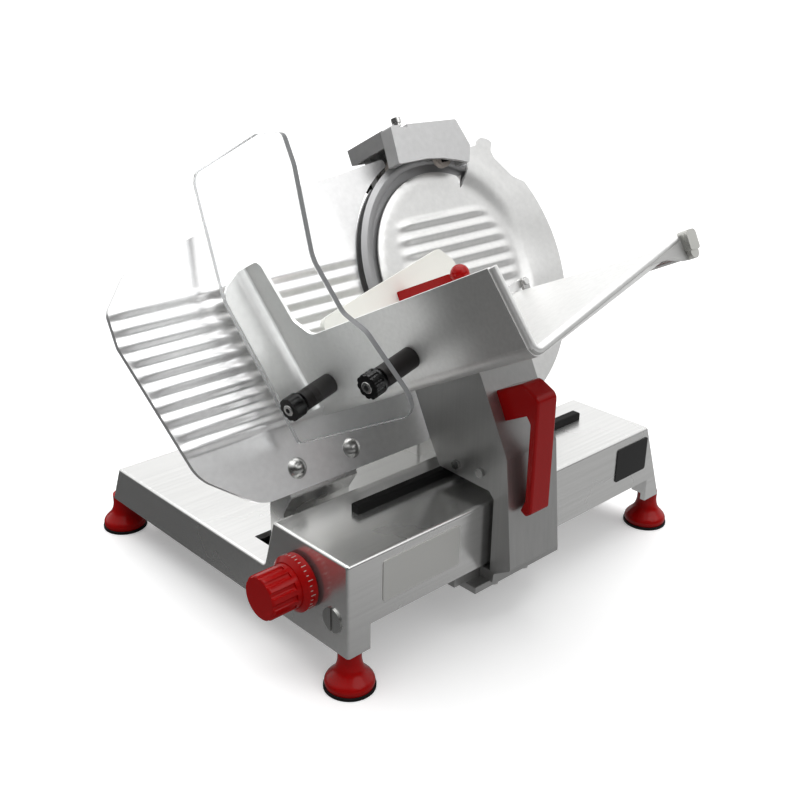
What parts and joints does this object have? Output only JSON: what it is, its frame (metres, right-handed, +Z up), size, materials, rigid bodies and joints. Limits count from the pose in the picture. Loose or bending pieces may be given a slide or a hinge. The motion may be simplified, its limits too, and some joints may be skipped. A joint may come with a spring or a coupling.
{
  "type": "food slicer",
  "caption": "Leaning-blade food slicer: a tilted tray rides a carriage past a round blade, a ribbed gauge plate on a dial sets slice thickness, with a clear hand guard and a weighted pusher",
  "frame": {"origin": "bottom centre of the front-left foot, on the table", "axes": "+X along the carriage travel to the operator's right, +Y from the operator to the back, +Z up"},
  "size_m": [0.575, 0.5433, 0.4727],
  "materials": {
    "base_metal": "brushed silver, satin clear coat",
    "polished_aluminium": "satin brushed",
    "cover_white": "satin light silver",
    "blade_steel": "ground steel",
    "steel": "bright",
    "red_plastic": "glossy",
    "black_plastic": "glossy",
    "black_rubber": "matte",
    "black_matte": "matte",
    "charcoal": "matte",
    "white_plastic": "off-white",
    "clear_guard": "clear acrylic",
    "plate_silver": "plain satin plate",
    "bronze": "plain bearing",
    "green_plastic": "glossy",
    "stone": "abrasive",
    "motor_grey": "grey"
  },
  "bodies": {
    "base": {"base_casting": "base_metal", "bottom_cover": "steel", "bottom_cover_screws": "steel", "feet": "red_plastic", "foot_pads": "black_rubber", "rail_strip": "black_matte", "guide_rod": "steel", "rod_end_plugs": "steel", "data_plate": "plate_silver", "front_plate": "black_plastic", "switch_plate": "plate_silver", "cord_gland": "black_matte", "gauge_rod": "steel", "motor_housing": "base_metal", "motor_body": "motor_grey", "blade_bearings": "steel", "drive_belt": "black_rubber", "ring_guard": "polished_aluminium", "slice_deflector": "steel", "blade_cover": "cover_white", "sharpener_body": "polished_aluminium", "sharpener_post": "polished_aluminium"},
    "carriage": {"slide_block": "base_metal", "slide_bushes": "bronze", "carriage_arm": "base_metal", "arm_bolts": "steel", "roller_pin": "steel", "tray_bolts": "steel", "carriage_handle": "red_plastic", "product_tray": "polished_aluminium", "guard_standoffs": "charcoal", "guard_studs": "steel", "hand_guard": "clear_guard", "pusher_rod": "steel", "pusher_rod_end": "polished_aluminium"},
    "roller": {"carriage_roller": "black_matte"},
    "pusher_slider": {"pusher_sleeve": "steel"},
    "pusher": {"pusher_arm": "polished_aluminium", "pusher_plate": "white_plastic", "pusher_handle": "red_plastic"},
    "dial": {"dial_knob": "red_plastic", "dial_cam": "steel"},
    "gauge": {"gauge_plate": "polished_aluminium", "gauge_screws": "steel", "gauge_carrier": "base_metal"},
    "blade": {"blade": "blade_steel", "blade_screws": "steel", "blade_hub": "steel"},
    "motor_rotor": {"motor_drive": "steel"},
    "cover_screw": {"cover_tie_rod": "steel", "cover_knob": "black_plastic"},
    "sharpen": {"sharpen_stone": "stone", "sharpen_button": "black_plastic"},
    "deburr": {"deburr_stone": "stone", "deburr_knob": "black_plastic"},
    "lock": {"sharpener_lock": "steel"},
    "guard_knob_near": {"guard_knob_near": "black_plastic"},
    "guard_knob_far": {"guard_knob_far": "black_plastic"},
    "start": {"start_button": "green_plastic"},
    "stop": {"stop_button": "red_plastic"}
  },
  "joints": [
    {"name": "carriage_slide", "type": "slide", "parent": "base", "child": "carriage", "axis": [1, 0, 0], "range_m": [-0.095, 0.15]},
    {"name": "roller_spin", "type": "hinge", "parent": "carriage", "child": "roller", "pos_m": [0.195, 0.0538, 0.151], "axis": [0, 1, 0], "continuous": true},
    {"name": "pusher_slide", "type": "slide", "parent": "carriage", "child": "pusher_slider", "axis": [0, -0.887, 0.4617], "range_m": [-0.016, 0.17]},
    {"name": "pusher_swing", "type": "hinge", "parent": "pusher_slider", "child": "pusher", "pos_m": [0.329, 0.10098, 0.28732], "axis": [0, 0.887, -0.4617], "range_deg": [0, 75]},
    {"name": "dial_turn", "type": "hinge", "parent": "base", "child": "dial", "pos_m": [-0.025, 0.0488, 0.093], "axis": [1, 0, 0], "range_deg": [-61, 261]},
    {"name": "gauge_slide", "type": "slide", "parent": "base", "child": "gauge", "axis": [0, 0.887, -0.4617], "range_m": [-0.003, 0.013]},
    {"name": "blade_spin", "type": "hinge", "parent": "base", "child": "blade", "pos_m": [0.299, 0.17665, 0.2919], "axis": [0, -0.887, 0.4617], "continuous": true},
    {"name": "motor_spin", "type": "hinge", "parent": "base", "child": "motor_rotor", "pos_m": [0.375, 0.22462, 0.18914], "axis": [0, -0.887, 0.4617], "continuous": true},
    {"name": "cover_knob_turn", "type": "hinge", "parent": "base", "child": "cover_screw", "pos_m": [0.299, 0.33454, 0.20971], "axis": [0, -0.887, 0.4617], "range_deg": [0, 360]},
    {"name": "sharpen_press", "type": "slide", "parent": "base", "child": "sharpen", "axis": [0, -0.887, 0.4617], "range_m": [0, 0.0035], "stiffness_N_per_m": 800, "springref_m": -0.002},
    {"name": "deburr_pull", "type": "slide", "parent": "base", "child": "deburr", "axis": [0, 0.887, -0.4617], "range_m": [0, 0.0035], "stiffness_N_per_m": 800, "springref_m": -0.002},
    {"name": "sharpener_lock_turn", "type": "hinge", "parent": "base", "child": "lock", "pos_m": [0.264, 0.22913, 0.4382], "axis": [0, 0.4617, 0.887], "range_deg": [0, 90]},
    {"name": "guard_knob_near_turn", "type": "hinge", "parent": "carriage", "child": "guard_knob_near", "pos_m": [0.01398, 0.08902, 0.23835], "axis": [0.9744, 0.1039, 0.1995], "range_deg": [0, 360]},
    {"name": "guard_knob_far_turn", "type": "hinge", "parent": "carriage", "child": "guard_knob_far", "pos_m": [0.01398, -0.01299, 0.29145], "axis": [0.9744, 0.1039, 0.1995], "range_deg": [0, 360]},
    {"name": "start_press", "type": "slide", "parent": "base", "child": "start", "axis": [-0.9326, 0, -0.361], "range_m": [0, 0.0025], "stiffness_N_per_m": 600, "springref_m": -0.001},
    {"name": "stop_press", "type": "slide", "parent": "base", "child": "stop", "axis": [-0.9326, 0, -0.361], "range_m": [0, 0.0025], "stiffness_N_per_m": 600, "springref_m": -0.001}
  ],
  "couplings": [
    {"joint": "roller_spin", "follows": "carriage_slide", "rad_per_m": 112.36},
    {"joint": "dial_turn", "follows": "gauge_slide", "rad_per_m": 349.07},
    {"joint": "motor_spin", "follows": "blade_spin", "ratio": 2.5}
  ]
}
